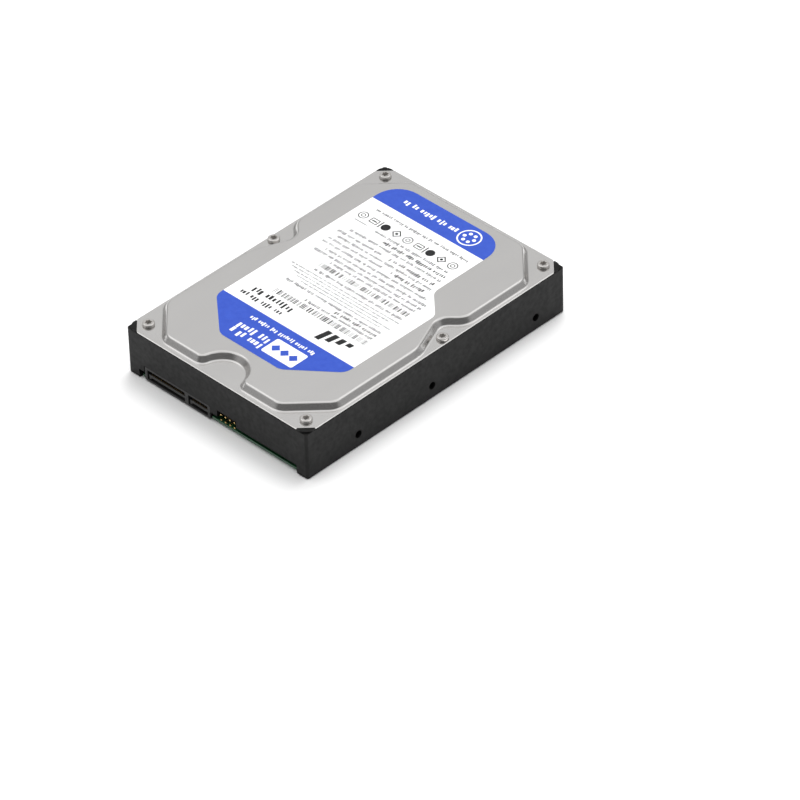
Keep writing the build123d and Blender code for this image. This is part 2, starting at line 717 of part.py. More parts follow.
def head_sliders():
    sliders = []
    for face, side in head_levels():
        near = face + side * SLIDER_GAP
        far = near + side * SLIDER_T
        z0, z1 = sorted((near, far))
        sliders.append(ARM_AT * block(ARM_REACH - 0.62, ARM_REACH + 0.62, -0.5, 0.5, z0, z1))
    return group(sliders)


def coil_outline():
    return rounded([(12, -5.8, 2.5), (28, -10.4, 2.5), (28, 10.4, 2.5), (12, 5.8, 2.5)])


def voice_coil():
    winding = prism(coil_outline(), *COIL_Z)
    opening = rounded([(15.4, -3.1, 1.2), (24.6, -5.8, 1.2), (24.6, 5.8, 1.2), (15.4, 3.1, 1.2)])
    return COIL_AT * (winding - prism(opening, 0, HEIGHT))


def coil_moulding():
    """Plastic fork moulded round the coil, with the tab that the latch catches."""
    fork = offset(coil_outline(), 1.4) + Polygon((4, -6.6), (14, -6.6), (14, 6.6), (4, 6.6), align=None)
    fork -= Circle(BLOCK_R)
    fork -= coil_outline()
    body = COIL_AT * prism(fork, *MOULD_Z)
    tab = Pos(*PIVOT) * Rot(0, 0, TAB_ANGLE) * block(28.6, TAB_R, -0.9, 0.9, *LATCH_Z)
    return body + tab - COIL_AT * prism(coil_outline(), *COIL_Z)


def bearing_heights():
    return [(BLOCK_Z[0] + 0.5, BLOCK_Z[0] + 3.0), (BLOCK_Z[1] - 3.0, BLOCK_Z[1] - 0.5)]


def bearing_cartridge():
    """Sleeve in the comb's bore and the two outer races pressed into it."""
    sleeve = ring(PIVOT, CARTRIDGE_R, 5.2, *BLOCK_Z)
    return group([sleeve] + [ring(PIVOT, 5.17, 4.75, *heights) for heights in bearing_heights()])


def bearing_inner_rings():
    return group([ring(PIVOT, 3.25, 2.53, *heights) for heights in bearing_heights()])


def bearing_balls():
    balls = []
    for low, high in bearing_heights():
        for i in range(9):
            angle = radians(40 * i)
            place = (PIVOT[0] + BALL_CIRCLE_R * cos(angle), PIVOT[1] + BALL_CIRCLE_R * sin(angle))
            balls.append(Pos(*place, (low + high) / 2) * Sphere(BALL_R))
    return group(balls)


def pivot_shaft():
    """Fixed post of the actuator, screwed to the floor below and to the cover above."""
    body = disc(PIVOT, 2.5, FLOOR_Z, PLATEAU_Z - SHEET) + disc(PIVOT, 4.6, FLOOR_Z, FLOOR_Z + 1.0)
    body += disc(PIVOT, 2.0, CEILING_Z + 0.3, FLOOR_Z)
    return body - disc(PIVOT, 1.05, 19.5, HEIGHT)


def arm_circuit():
    """Printed circuit on the comb's side, with the preamplifier's seat."""
    plate = block(BLOCK_R + 0.3, BLOCK_R + 0.8, -4.0, 4.0, 10.0, 18.5)
    seat = block(BLOCK_R - 2.5, BLOCK_R + 0.3, -2.5, 2.5, 10.6, 18.0)
    seat -= disc((0, 0), BLOCK_R + 0.02, 0, HEIGHT)
    return COMB_FLAT_AT * (plate + seat)


def preamplifier():
    return COMB_FLAT_AT * block(BLOCK_R + 0.8, BLOCK_R + 1.5, -1.6, 1.6, 12.6, 16.2)


# ---- flexible circuit ----
def flex_bracket():
    """Plate round the head connector with an upright wall that holds the circuit's fixed end."""
    x, y = HEAD_PLUG
    plate = block(x - 10, x + 10, y - 5.5, y + 5.5, FLOOR_Z, FLOOR_Z + 1.5)
    plate -= block(x - 8.05, x + 8.05, y - 3.05, y + 3.05, 0, 10)
    return plate + block(x + 8.6, x + 10, y - 5.5, y + 5.5, FLOOR_Z, 17.5)


def flex_circuit():
    """Upright ribbon: along the bracket's wall, round a loop and up to the comb."""
    x = HEAD_PLUG[0] + 10
    loop_y = FRONT_NOTCH_Y + FRONT_NOTCH_R + 1.9
    corners = [(x + 0.2, -47), (x + 0.2, loop_y), (0.8, loop_y), (0.8, -45), (4.4, -40.2)]
    path = FilletPolyline(*corners, radius=(2.2, 2.2, 6))
    ribbon = trace(path, 0.3)
    return prism(ribbon, 9.6, 17.2)


# ---- magnets and stops ----
def yoke_outline():
    ears = [Pos(*about_pivot(*post)) * Circle(4.0) for post in YOKE_POSTS]
    plate = sector(PIVOT, *YOKE_R, -93, -16)
    edges = [edge for shape in ears + [plate] for edge in shape.edges()]
    return make_hull(edges) - Pos(*PIVOT) * Circle(YOKE_R[0])


def lower_yoke():
    plate = prism(yoke_outline(), *LOWER_YOKE)
    for post in YOKE_POSTS:
        plate -= disc(about_pivot(*post), 1.25, 0, HEIGHT)
    return plate


def upper_yoke():
    plate = prism(yoke_outline(), *UPPER_YOKE)
    for post in YOKE_POSTS:
        plate -= disc(about_pivot(*post), 1.25, 0, HEIGHT)
    return fillet(plate.edges().group_by(Axis.Z)[-1].filter_by(GeomType.CIRCLE, reverse=True), 0.3)


def magnet(heights):
    """Arc magnet glued to its yoke plate."""
    body = prism(sector(PIVOT, *MAGNET_R, -90, -24), *heights)
    return chamfer(body.edges().filter_by(Axis.Z), 0.8)


def yoke_posts():
    """Spacers that hold the two yoke plates apart."""
    return group([
        ring(about_pivot(*post), POST_R, 1.25, LOWER_YOKE[1], UPPER_YOKE[0]) for post in YOKE_POSTS
    ])


def yoke_screws():
    seat = UPPER_YOKE[1]
    return group([screw(about_pivot(*post), 1.2, 2.2, 5.2, seat, seat + 1.2, 1.0) for post in YOKE_POSTS])


def stop_place(coil_direction, side):
    """Centre of a stop pin that the moulding's flank meets at one end of its travel."""
    flank = degrees(acos(16 / hypot(16, 4.6)))
    reach = 1.4 + 0.3 + 1.6
    x = 20 - reach * sin(radians(flank))
    y = side * (8.1 + reach * cos(radians(flank)))
    return Pos(*PIVOT) * Rot(0, 0, coil_direction) * Pos(x, y)


def crash_stops():
    parked = park_angle() - 180 - COIL_BEND
    height = UPPER_YOKE[0] - LOWER_YOKE[1]
    pin = Pos(0, 0, LOWER_YOKE[1] + height / 2) * Cylinder(1.6, height)
    return group([stop_place(parked, 1) * pin, stop_place(parked - SWING, -1) * pin])


# ---- parking ramp ----
def ramp_screw_place():
    return about_pivot(55.5, 173)


def parking_ramp():
    """Comb of small fingers round each disk's edge; the suspensions' tabs slide up onto them."""
    body = prism(sector(PIVOT, 54.2, 57.4, 158, 169.5), FLOOR_Z, 21.0)
    body += prism(sector(PIVOT, 53.0, 57.4, 168, 174), FLOOR_Z, FLOOR_Z + 2)
    body += disc(ramp_screw_place(), 3.0, FLOOR_Z, FLOOR_Z + 2)
    for face, side in head_levels():
        finger = sorted((face + side * 0.25, face + side * 0.65))
        body += prism(sector(PIVOT, 50.9, 54.4, 153, 167), *finger)
    return body - disc(ramp_screw_place(), 1.25, 0, 20)


def ramp_screw():
    return screw(ramp_screw_place(), 1.2, 2.2, 5.2, FLOOR_Z + 2, FLOOR_Z + 3.2, 1.0)


# ---- latch ----
def latch_lever():
    """Swinging hook that holds the coil's tab when a parked drive is knocked."""
    pin = Vector(*about_pivot(*LATCH_PIN))
    tip = Vector(*about_pivot(*LATCH_TIP))
    along = (tip - pin).normalized()
    across = Vector(-along.Y, along.X)
    corners = [pin - across, tip - across, tip + across, pin + across]
    bar = Polygon(*[(corner.X, corner.Y) for corner in corners], align=None)
    nose_end = Vector(*about_pivot(LATCH_NOSE_R, LATCH_TIP[1]))
    nose_mid = (tip + nose_end) * 0.5
    nose = Rot(0, 0, LATCH_TIP[1]) * Rectangle((tip - nose_end).length + 1, 1.6)
    nose = Pos(nose_mid.X, nose_mid.Y) * nose
    body = prism(bar + nose, *LATCH_Z)
    body += disc((pin.X, pin.Y), 2.2, *LATCH_Z) + disc((tip.X, tip.Y), 1.2, *LATCH_Z)
    body -= disc((pin.X, pin.Y), 1.05, 0, HEIGHT)
    return Pos(pin.X, pin.Y) * Rot(0, 0, LATCH_OPEN) * Pos(-pin.X, -pin.Y) * body


def latch_pin():
    place = about_pivot(*LATCH_PIN)
    return disc(place, 1.0, 5.2, 16.4) + disc(place, 2.0, FLOOR_Z, 13.3) + disc(place, 1.8, 15.9, 16.7)


def main():
    parts = {
        "base_casting": base_casting(),
        "top_cover": top_cover(),
        "cover_gasket": cover_gasket(),
        "cover_screws": cover_screws(),
        "pivot_screw": pivot_screw(),
        "drive_label": drive_label(),
        "circuit_board": circuit_board(),
        "board_screws": board_screws(),
        "controller_chip": chip(-12, -34, 14, 14),
        "motor_driver_chip": chip(14, -16, 10, 10),
        "memory_chip": chip(-24, -20, 8, 12),
        "board_components": board_components(),
        "insulating_foam": insulating_foam(),
        "signal_power_connector": signal_power_connector(),
        "connector_contacts": connector_contacts(),
        "jumper_block": jumper_block(),
        "jumper_pins": jumper_pins(),
        "head_connector": head_connector(),
        "motor_contact_block": motor_contact_block(),
        "motor_circuit": motor_circuit(),
        "breather_filter": breather_filter(),
        "recirculation_filter": recirculation_filter(),
        "motor_base": motor_base(),
        "motor_screws": motor_screws(),
        "bearing_sleeve": bearing_sleeve(),
        "stator_core": stator_core(),
        "stator_coils": stator_coils(),
        "spindle_hub": spindle_hub(),
        "spindle_shaft": spindle_shaft(),
        "rotor_magnet": rotor_magnet(),
        "disk_clamp": disk_clamp(),
        "clamp_screws": clamp_screws(),
        "arm_block": arm_block(),
        "head_suspensions": head_suspensions(),
        "head_sliders": head_sliders(),
        "voice_coil": voice_coil(),
        "coil_moulding": coil_moulding(),
        "bearing_cartridge": bearing_cartridge(),
        "bearing_inner_rings": bearing_inner_rings(),
        "bearing_balls": bearing_balls(),
        "pivot_shaft": pivot_shaft(),
        "arm_circuit": arm_circuit(),
        "preamplifier": preamplifier(),
        "flex_bracket": flex_bracket(),
        "flex_circuit": flex_circuit(),
        "lower_yoke": lower_yoke(),
        "upper_yoke": upper_yoke(),
        "lower_magnet": magnet(LOWER_MAGNET),
        "upper_magnet": magnet(UPPER_MAGNET),
        "yoke_posts": yoke_posts(),
        "yoke_screws": yoke_screws(),
        "crash_stops": crash_stops(),
        "parking_ramp": parking_ramp(),
        "ramp_screw": ramp_screw(),
        "latch_lever": latch_lever(),
        "latch_pin": latch_pin(),
    }
    for index in range(PLATTER_COUNT):
        parts[f"platter_{index + 1}"] = platter(index)
    parts["platter_spacers"] = group([platter_spacer(index) for index in range(PLATTER_COUNT - 1)])
    os.makedirs("parts", exist_ok=True)
    for name, shape in parts.items():
        shape.label = name
        export_step(shape, f"parts/{name}.step")
    print(len(parts), "sub-parts; arm parked at", round(park_angle(), 2), "degrees")


main()
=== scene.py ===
import json
import math
import random

import bmesh
import bpy
from mathutils import Matrix, Vector


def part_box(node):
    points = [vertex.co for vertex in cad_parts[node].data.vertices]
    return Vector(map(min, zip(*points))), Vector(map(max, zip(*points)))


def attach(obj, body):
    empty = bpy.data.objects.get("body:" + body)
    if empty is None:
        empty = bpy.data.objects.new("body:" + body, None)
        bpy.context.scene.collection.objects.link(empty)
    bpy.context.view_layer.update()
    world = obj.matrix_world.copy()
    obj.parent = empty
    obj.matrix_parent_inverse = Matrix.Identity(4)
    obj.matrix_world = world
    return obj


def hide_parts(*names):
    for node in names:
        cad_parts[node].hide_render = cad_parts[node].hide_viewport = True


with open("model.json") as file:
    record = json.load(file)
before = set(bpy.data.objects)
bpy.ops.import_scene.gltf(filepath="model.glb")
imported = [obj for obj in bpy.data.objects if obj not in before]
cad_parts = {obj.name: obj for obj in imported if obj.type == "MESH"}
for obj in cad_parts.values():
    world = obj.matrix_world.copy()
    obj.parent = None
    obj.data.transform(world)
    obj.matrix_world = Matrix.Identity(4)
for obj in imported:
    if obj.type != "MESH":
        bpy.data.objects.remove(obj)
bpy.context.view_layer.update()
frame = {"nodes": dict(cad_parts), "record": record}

MM = 0.001

# ---- camera: the photograph's angle on the drive ----
VIEW_AZIMUTH = 45.49
VIEW_ELEVATION = 38.73
VIEW_ROLL = -1.72
VIEW_DISTANCE = 2.2155
VIEW_PAN = (0.0212, -0.0329)      # how far the picture's middle lies to the drive's right and below it
VIEW_HEIGHT = 0.01155
LENS = 247.8
FAR_CLIP = 50

# ---- light ----
SKY_STOPS = [                     # sine of the angle above the horizon, and grey
    (0.0, 0.26), (0.19, 0.38), (0.50, 0.66), (0.66, 0.74), (0.76, 1.60), (0.86, 0.95), (1.0, 0.66),
]
SKY_DARK_SIDE = math.radians(45)  # the studio is dark on this side of the drive
SKY_SHADE = (0.25, 0.70, 1.0, 0.28)  # cosines to that side where it starts and ends; strength there
FLOOR_HALF = 6.0                  # metres

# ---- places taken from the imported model, in millimetres ----
def middle(node):
    low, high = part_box(node)
    return ((low + high) / 2) / MM


SPINDLE = middle("spindle_hub")
PIVOT = middle("pivot_shaft")
LABEL_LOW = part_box("drive_label")[0] / MM
LABEL_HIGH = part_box("drive_label")[1] / MM
BOARD_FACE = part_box("circuit_board")[0].z / MM

# ---- tracks on the board's outer face ----
TRACK_T = 0.035                   # copper under the solder mask
VIA_R = 0.55
VIA_HOLE_R = 0.22
VIA_SHARE = 0.45                  # largest via radius, as a share of the tracks' pitch
PAD_R = 0.8
BUSES = [                         # path, number of tracks, track width, pitch
    ([(-30.0, -63.0), (-30.0, -50.0), (-21.0, -41.0), (-21.0, -31.0)], 9, 0.45, 1.1),
    ([(-14.0, -38.0), (6.0, -38.0), (13.0, -45.0), (13.0, -62.0)], 8, 0.45, 1.1),
    ([(-15.0, -22.0), (-15.0, -14.0), (-21.0, -8.0), (-21.0, 1.0)], 4, 0.9, 1.8),
    ([(6.0, -27.0), (24.0, -27.0), (34.0, -17.0), (34.0, -3.0)], 7, 0.45, 1.1),
    ([(-31.0, -28.0), (-37.0, -22.0), (-37.0, -3.0)], 5, 0.45, 1.1),
    ([(4.0, -16.0), (14.0, -16.0), (21.0, -9.0), (21.0, 0.0)], 4, 0.9, 1.8),
]
PAD_PITCH = 2.6
PAD_ROWS = [                      # first pad's place, number of pads
    (24.0, -60.0, 5), (24.0, -50.0, 6), (-8.0, -54.0, 6), (-36.0, -38.0, 3), (-8.0, -32.0, 4),
]

# ---- label ----
LABEL_CORNERS = [                 # x, y, radius
    (-17.0, -54.2, 6.0), (17.0, -54.2, 6.0), (37.6, -37.9, 6.0), (38.1, 11.9, 5.0),
    (26.9, 22.6, 6.0), (26.9, 65.4, 11.5), (-35.8, 65.4, 11.5), (-36.2, -37.4, 6.0),
]
FRONT_BAND_Y = -33.5              # blue below this line
REAR_BAND_Y = 51.3                # and above this one
INK = 0.012                       # thickness of one level of print
SHEET_TOP = LABEL_HIGH.z - 4 * INK
BLOCK_PITCH = 0.62                # of the blocks that stand for letters, as a share of a line's height
BLACK_ROWS = [                    # y, then the row's two ends
    (32.5, -12.0, 23.5), (26.0, -2.0, 23.5), (20.0, 4.0, 23.5), (-13.5, 6.0, 30.0),
]
GREY_ROWS = [                     # the same, for the small print
    (46.4, -30.0, 23.0), (35.5, -20.0, 22.0), (29.5, -28.0, 24.0), (26.0, -31.0, -6.0),
    (23.0, -30.0, 25.0), (20.0, -31.0, 0.0), (17.0, -31.0, 28.0), (13.8, -26.0, 31.0),
    (11.0, -31.0, 31.0), (8.3, -18.0, 30.0), (1.0, -20.0, 30.0), (-11.0, -24.0, 30.0),
    (-16.0, -8.0, 30.0),
]
PAPER_DARK = (0.90, 0.90, 0.90)
PAPER_LIGHT = (0.93, 0.93, 0.93)
INK_GLOSS = 0.25
BLACK_ROW_HEIGHT = 1.8
GREY_ROW_HEIGHT = 1.5
FINE_ROW_HEIGHT = 0.75
SYMBOL_STROKE = 0.45


# ---- outlines, in millimetres ----
def rounded(corners, steps=8):
    """An outline with an arc at each corner, given as x, y and radius."""
    outline = []
    count = len(corners)
    for i, (x, y, radius) in enumerate(corners):
        corner = Vector((x, y))
        to_last = (Vector(corners[i - 1][:2]) - corner).normalized()
        to_next = (Vector(corners[(i + 1) % count][:2]) - corner).normalized()
        half = to_last.angle(to_next) / 2
        centre = corner + (to_last + to_next).normalized() * (radius / math.sin(half))
        start = corner + to_last * (radius / math.tan(half)) - centre
        end = corner + to_next * (radius / math.tan(half)) - centre
        sweep = math.atan2(start.cross(end), start.dot(end))
        first = math.atan2(start.y, start.x)
        for k in range(steps + 1):
            angle = first + sweep * k / steps
            outline.append((centre.x + radius * math.cos(angle), centre.y + radius * math.sin(angle)))
    return outline


def bar(x0, x1, y0, y1, radius=0.0):
    """A rectangle, with rounded corners if a radius is given."""
    if radius:
        return rounded([(x0, y0, radius), (x1, y0, radius), (x1, y1, radius), (x0, y1, radius)], 4)
    return [(x0, y0), (x1, y0), (x1, y1), (x0, y1)]


def circle(x, y, radius, steps=40):
    """A circle's outline."""
    turns = [2 * math.pi * i / steps for i in range(steps)]
    return [(x + radius * math.cos(turn), y + radius * math.sin(turn)) for turn in turns]


def clipped(outline, level, side):
    """The part of an outline whose y is beyond a level, on the side +1 or -1."""
    kept = []
    for (x0, y0), (x1, y1) in zip(outline, outline[1:] + outline[:1]):
        inside = (y0 - level) * side >= 0
        if inside:
            kept.append((x0, y0))
        if inside != ((y1 - level) * side >= 0):
            share = (level - y0) / (y1 - y0)
            kept.append((x0 + share * (x1 - x0), level))
    return kept


# ---- meshes ----
def corners_at(mesh, outline, z):
    """A mesh corner at each of an outline's points, at one height."""
    return [mesh.verts.new((x * MM, y * MM, z * MM)) for x, y in outline]


def add_prism(mesh, outline, low, high, hole=None):
    """An upright prism; a hole is an outline with as many points as the outer one."""
    walls = [outline] + ([hole] if hole else [])
    levels = [[corners_at(mesh, loop, z) for z in (low, high)] for loop in walls]
    count = len(outline)
    for bottom, top in levels:
        for i in range(count):
            mesh.faces.new((bottom[i - 1], bottom[i], top[i], top[i - 1]))
    for level in (0, 1):
        if hole:
            outer, inner = levels[0][level], levels[1][level]
            for i in range(count):
                mesh.faces.new((outer[i - 1], outer[i], inner[i], inner[i - 1]))
        else:
            mesh.faces.new(levels[0][level])


def linked(name, mesh, finish):
    """Turns a bmesh into an object with a material."""
    data = bpy.data.meshes.new(name)
    mesh.to_mesh(data)
    mesh.free()
    data.materials.append(finish.material)
    made = bpy.data.objects.new(name, data)
    bpy.context.scene.collection.objects.link(made)
    return made


def piece(name, shapes, low, high, body, finish):
    """One object from several flat shapes of the same thickness; a shape is an outline and its hole."""
    mesh = bmesh.new()
    for shape in shapes:
        outline, hole = shape if isinstance(shape, tuple) else (shape, None)
        add_prism(mesh, outline, low, high, hole)
    bmesh.ops.recalc_face_normals(mesh, faces=mesh.faces)
    made = linked(name, mesh, finish)
    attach(made, body)
    return made


# ---- materials ----
class Finish:
    """A principled material, with helpers that hang textures on it. Sizes are in millimetres."""

    def __init__(self, name, metallic=0.0, **fixed):
        self.material = bpy.data.materials.new(name)
        self.material.use_nodes = True
        self.tree = self.material.node_tree
        self.shader = self.tree.nodes["Principled BSDF"]
        self.shader.inputs["Metallic"].default_value = metallic
        for socket, value in fixed.items():
            self.shader.inputs[socket.replace("_", " ")].default_value = value
        self.place = self.tree.nodes.new("ShaderNodeTexCoord").outputs["Object"]
        self.normal = None

    def link(self, output, target):
        self.tree.links.new(output, target)

    def scaled_place(self, size, stretch=(1, 1, 1), origin=(0, 0, 0)):
        """Coordinates measured from an origin, in which one unit is size millimetres long."""
        shift = self.tree.nodes.new("ShaderNodeMapping")
        shift.inputs["Location"].default_value = [-value * MM for value in origin]
        self.link(self.place, shift.inputs["Vector"])
        scale = self.tree.nodes.new("ShaderNodeMapping")
        scale.inputs["Scale"].default_value = [value / (size * MM) for value in stretch]
        self.link(shift.outputs["Vector"], scale.inputs["Vector"])
        return scale.outputs["Vector"]

    def noise(self, size, detail=3.0, stretch=(1, 1, 1)):
        """Blotches about size millimetres across; stretch below 1 draws them out along an axis."""
        texture = self.tree.nodes.new("ShaderNodeTexNoise")
        texture.inputs["Scale"].default_value = 1.0
        texture.inputs["Detail"].default_value = detail
        self.link(self.scaled_place(size, stretch), texture.inputs["Vector"])
        return texture.outputs["Fac"]

    def grains(self, size):
        """Cells about size millimetres across, dark in the middle and light at the edges."""
        texture = self.tree.nodes.new("ShaderNodeTexVoronoi")
        texture.inputs["Scale"].default_value = 1.0
        self.link(self.scaled_place(size), texture.inputs["Vector"])
        return texture.outputs["Distance"]

    def waves(self, pitch, direction="X", kind="BANDS", origin=(0, 0, 0), wobble=0.0):
        """Parallel or ring-shaped waves, pitch millimetres apart."""
        texture = self.tree.nodes.new("ShaderNodeTexWave")
        texture.wave_type = kind
        if kind == "BANDS":
            texture.bands_direction = direction
        else:
            texture.rings_direction = direction
        # At scale 1 the bands lie pi / 10 apart, so this scale puts them one pitch apart.
        texture.inputs["Scale"].default_value = math.pi / 10
        texture.inputs["Distortion"].default_value = wobble
        self.link(self.scaled_place(pitch, origin=origin), texture.inputs["Vector"])
        return texture.outputs["Fac"]

    def spread(self, value, low, high, start=0.3, end=0.7):
        """A texture's middle range stretched to run from low to high."""
        ramp = self.tree.nodes.new("ShaderNodeMapRange")
        for socket, number in (("From Min", start), ("From Max", end), ("To Min", low), ("To Max", high)):
            ramp.inputs[socket].default_value = number
        self.link(value, ramp.inputs["Value"])
        return ramp.outputs["Result"]

    def colour(self, value, first, second, start=0.3, end=0.7):
        """Base colour that runs from the first to the second colour with a texture."""
        ramp = self.tree.nodes.new("ShaderNodeValToRGB")
        ramp.color_ramp.elements[0].position = start
        ramp.color_ramp.elements[1].position = end
        ramp.color_ramp.elements[0].color = (*first, 1)
        ramp.color_ramp.elements[1].color = (*second, 1)
        self.link(value, ramp.inputs["Fac"])
        self.link(ramp.outputs["Color"], self.shader.inputs["Base Color"])

    def roughness(self, value, low, high, start=0.3, end=0.7):
        self.link(self.spread(value, low, high, start, end), self.shader.inputs["Roughness"])

    def relief(self, value, depth):
        """Bump of a depth in millimetres, on top of what the material already has."""
        bump = self.tree.nodes.new("ShaderNodeBump")
        bump.inputs["Distance"].default_value = depth * MM
        bump.inputs["Strength"].default_value = 1.0
        self.link(value, bump.inputs["Height"])
        if self.normal:
            self.link(self.normal, bump.inputs["Normal"])
        self.normal = bump.outputs["Normal"]
        self.link(self.normal, self.shader.inputs["Normal"])


def plain(name, dark, light, rough, patch=3.0, grain=0.25, depth=0.004, metallic=0.0, **fixed):
    """Colour and roughness vary in patches, under a fine grain."""
    finish = Finish(name, metallic, **fixed)
    patches = finish.noise(patch)
    finish.colour(patches, dark, light)
    finish.roughness(finish.noise(patch * 0.6), *rough)
    finish.relief(finish.noise(grain, 2.0), depth)
    return finish


def cover_grey():
    """Satin pressed sheet with a faint rolling grain along its length."""
    finish = Finish("cover_grey", 1.0)
    finish.colour(finish.noise(40.0), (0.655, 0.645, 0.635), (0.67, 0.66, 0.65), 0.2, 0.8)
    finish.roughness(finish.noise(9.0, stretch=(1, 0.3, 1)), 0.20, 0.23)
    finish.relief(finish.noise(0.5, 2.0), 0.00003)
    return finish


def casting_black():
    """Black coat over a cast surface: fine orange peel on slow waves."""
    finish = Finish("casting_black", Specular_IOR_Level=0.2)
    finish.colour(finish.noise(6.0), (0.004, 0.004, 0.004), (0.007, 0.007, 0.007))
    finish.roughness(finish.noise(2.0), 0.42, 0.58)
    finish.relief(finish.noise(5.0), 0.05)
    finish.relief(finish.grains(0.45), 0.008)
    return finish


def lathe(name, centre, dark, light, rough):
    """Turned metal: fine rings round an axis."""
    finish = Finish(name, 1.0)
    finish.colour(finish.noise(5.0), dark, light)
    finish.roughness(finish.noise(1.5), *rough)
    finish.relief(finish.waves(0.12, "Z", "RINGS", centre, 0.4), 0.0008)
    return finish


def platter_mirror():
    """Sputtered disk: a near mirror with faint rings of roughness."""
    finish = Finish("platter_mirror", 1.0)
    finish.colour(finish.noise(30.0), (0.70, 0.69, 0.68), (0.74, 0.73, 0.72))
    finish.roughness(finish.waves(1.7, "Z", "RINGS", SPINDLE, 1.5), 0.045, 0.075, 0.0, 1.0)
    finish.relief(finish.noise(9.0), 0.0006)
    return finish


def brushed(name, dark, light, rough, stretch):
    """Metal with a grain drawn out along one axis."""
    finish = Finish(name, 1.0)
    finish.colour(finish.noise(4.0), dark, light)
    finish.roughness(finish.noise(0.8, stretch=stretch), *rough)
    finish.relief(finish.noise(0.18, 3.0, stretch=stretch), 0.0015)
    return finish


def copper_wire():
    """Enamelled wire: rows of turns, 0.2 mm apart."""
    finish = Finish("copper_wire", 0.85, Coat_Weight=0.3)
    finish.colour(finish.noise(1.2), (0.42, 0.13, 0.035), (0.62, 0.24, 0.075))
    finish.roughness(finish.noise(0.6), 0.28, 0.42)
    finish.relief(finish.waves(0.2, "Z", wobble=0.6), 0.03)
    return finish


def lamination_steel():
    """Stack of punched steel sheets, 0.35 mm each."""
    finish = Finish("lamination_steel", 0.9)
    sheets = finish.waves(0.35, "Z", wobble=0.2)
    finish.colour(sheets, (0.16, 0.17, 0.20), (0.40, 0.41, 0.43), 0.1, 0.5)
    finish.roughness(finish.noise(0.7), 0.35, 0.5)
    finish.relief(sheets, 0.02)
    return finish


def circuit_amber():
    """Polyimide film over copper tracks that run along the strip."""
    finish = Finish("circuit_amber", Coat_Weight=0.4, Coat_Roughness=0.15)
    tracks = finish.waves(0.8, "Z", wobble=0.1)
    finish.colour(tracks, (0.36, 0.13, 0.02), (0.58, 0.27, 0.06), 0.35, 0.6)
    finish.roughness(finish.noise(1.2), 0.28, 0.4)
    finish.relief(tracks, 0.02)
    return finish


def board_green():
    """Green solder mask on glass cloth."""
    finish = Finish("board_green", Coat_Weight=0.35, Coat_Roughness=0.12)
    finish.colour(finish.noise(7.0), (0.006, 0.060, 0.022), (0.010, 0.085, 0.030))
    finish.roughness(finish.noise(1.6), 0.30, 0.42)
    finish.relief(finish.waves(0.5, "X"), 0.0015)
    finish.relief(finish.waves(0.5, "Y"), 0.0015)
    return finish


def filter_white():
    """Non-woven cloth: crossed fibres under a soft wrinkle."""
    finish = Finish("filter_white", Sheen_Weight=0.3)
    finish.colour(finish.noise(0.7, 6.0), (0.62, 0.61, 0.57), (0.82, 0.81, 0.78))
    finish.roughness(finish.noise(0.5), 0.85, 1.0)
    finish.relief(finish.noise(0.16, 5.0, stretch=(0.2, 1, 1)), 0.04)
    finish.relief(finish.noise(0.16, 5.0, stretch=(1, 0.2, 1)), 0.04)
    return finish


def label_paper(name="label_paper", dark=PAPER_DARK, light=PAPER_LIGHT, gloss=0.5, coat=0.15):
    """Coated paper, or ink on it: faint fibres and a soft gloss."""
    finish = Finish(name, Specular_IOR_Level=gloss, Coat_Weight=coat, Coat_Roughness=0.3)
    finish.colour(finish.noise(2.5, 5.0), dark, light)
    finish.roughness(finish.noise(1.0), 0.42, 0.55)
    finish.relief(finish.noise(0.3, 4.0), 0.0015)
    return finish


def gasket_rubber():
    """Closed-cell foam rubber."""
    finish = plain("gasket_rubber", (0.012, 0.012, 0.012), (0.022, 0.022, 0.022), (0.75, 0.9))
    finish.relief(finish.grains(0.3), 0.03)
    return finish


def screw_steel():
    """Bright plated steel."""
    return plain("screw_steel", (0.62, 0.60, 0.58), (0.70, 0.68, 0.66), (0.12, 0.20),
                 patch=0.8, grain=0.3, depth=0.0004, metallic=1.0)


def chip_black():
    """Moulded chip bodies."""
    return plain("chip_black", (0.012, 0.012, 0.013), (0.020, 0.020, 0.021), (0.45, 0.6),
                 patch=2.0, grain=0.12, depth=0.004)


def component_tan():
    """Small ceramic components."""
    return plain("component_tan", (0.22, 0.15, 0.09), (0.36, 0.27, 0.18), (0.35, 0.5),
                 patch=1.5, grain=0.1, depth=0.003)


def foam_grey():
    """Soft insulating foam."""
    return plain("foam_grey", (0.07, 0.07, 0.075), (0.11, 0.11, 0.115), (0.85, 1.0),
                 patch=1.0, grain=0.4, depth=0.06)


def connector_black():
    """Moulded connector housings."""
    return plain("connector_black", (0.012, 0.012, 0.012), (0.020, 0.020, 0.020), (0.40, 0.55),
                 patch=2.5, grain=0.15, depth=0.005)


def contact_gold():
    """Gold-plated contacts."""
    return plain("contact_gold", (0.78, 0.52, 0.20), (0.88, 0.64, 0.28), (0.18, 0.28),
                 patch=0.8, grain=0.1, depth=0.0008, metallic=1.0)


def magnet_nickel():
    """Nickel-plated magnets."""
    return plain("magnet_nickel", (0.60, 0.58, 0.54), (0.68, 0.66, 0.62), (0.18, 0.28),
                 patch=4.0, grain=0.5, depth=0.003, metallic=1.0)


def magnet_grey():
    """Grey bonded magnet."""
    return plain("magnet_grey", (0.06, 0.06, 0.065), (0.10, 0.10, 0.105), (0.5, 0.65),
                 patch=1.2, grain=0.15, depth=0.006, metallic=0.3)


def yoke_plated():
    """Plated steel of the yoke."""
    return plain("yoke_plated", (0.52, 0.51, 0.49), (0.62, 0.61, 0.59), (0.30, 0.42),
                 patch=6.0, grain=0.35, depth=0.004, metallic=1.0)


def slider_dark():
    """Dark ceramic sliders."""
    return plain("slider_dark", (0.03, 0.03, 0.035), (0.05, 0.05, 0.055), (0.15, 0.25),
                 patch=0.5, grain=0.1, depth=0.001)


